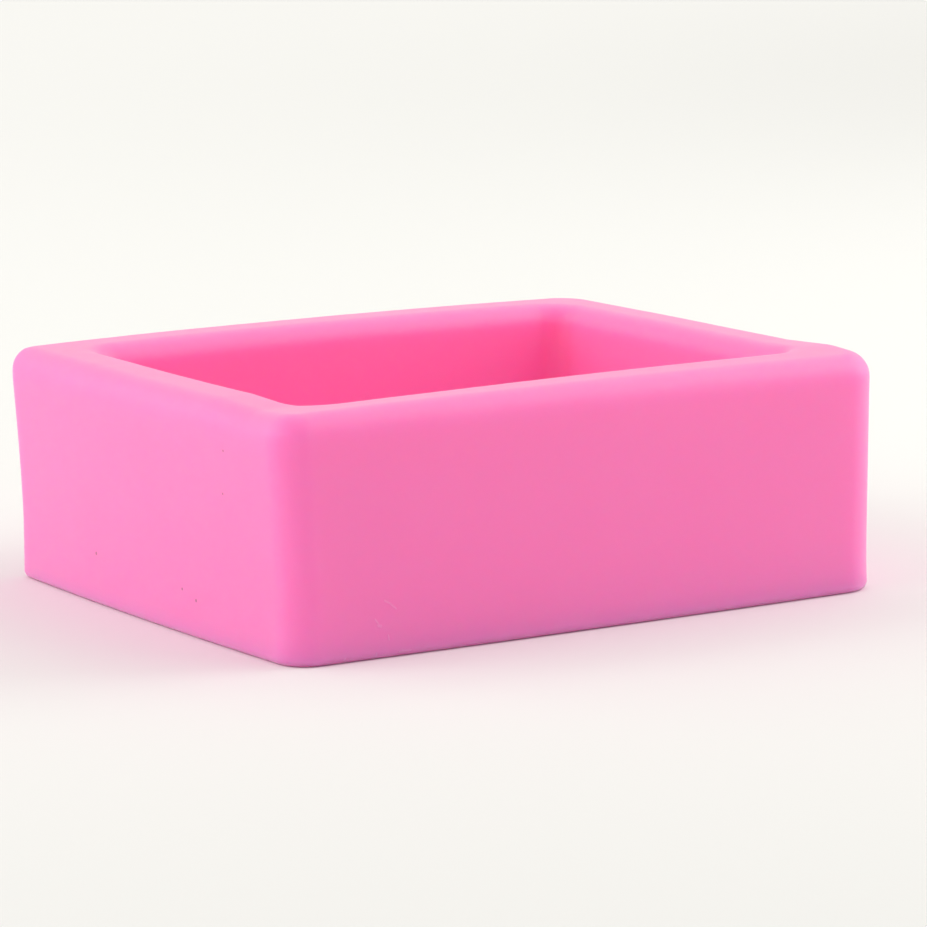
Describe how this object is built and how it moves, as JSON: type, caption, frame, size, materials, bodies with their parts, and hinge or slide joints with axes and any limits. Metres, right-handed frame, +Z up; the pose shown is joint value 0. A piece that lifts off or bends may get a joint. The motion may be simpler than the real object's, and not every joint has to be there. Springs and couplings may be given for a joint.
{
  "type": "soap mould",
  "caption": "Rectangular silicone mould for casting one bar of soap or resin: thick soft walls, rounded rim and a flat-floored open cavity.",
  "frame": {"origin": "centre of the flat underside", "axes": "+X along the length, +Y along the width, +Z up out of the cavity"},
  "size_m": [0.09, 0.07, 0.0305],
  "materials": {
    "silicone": "matte, slightly translucent pink silicone"
  },
  "bodies": {
    "root": {"mould_body": "silicone"}
  },
  "joints": []
}
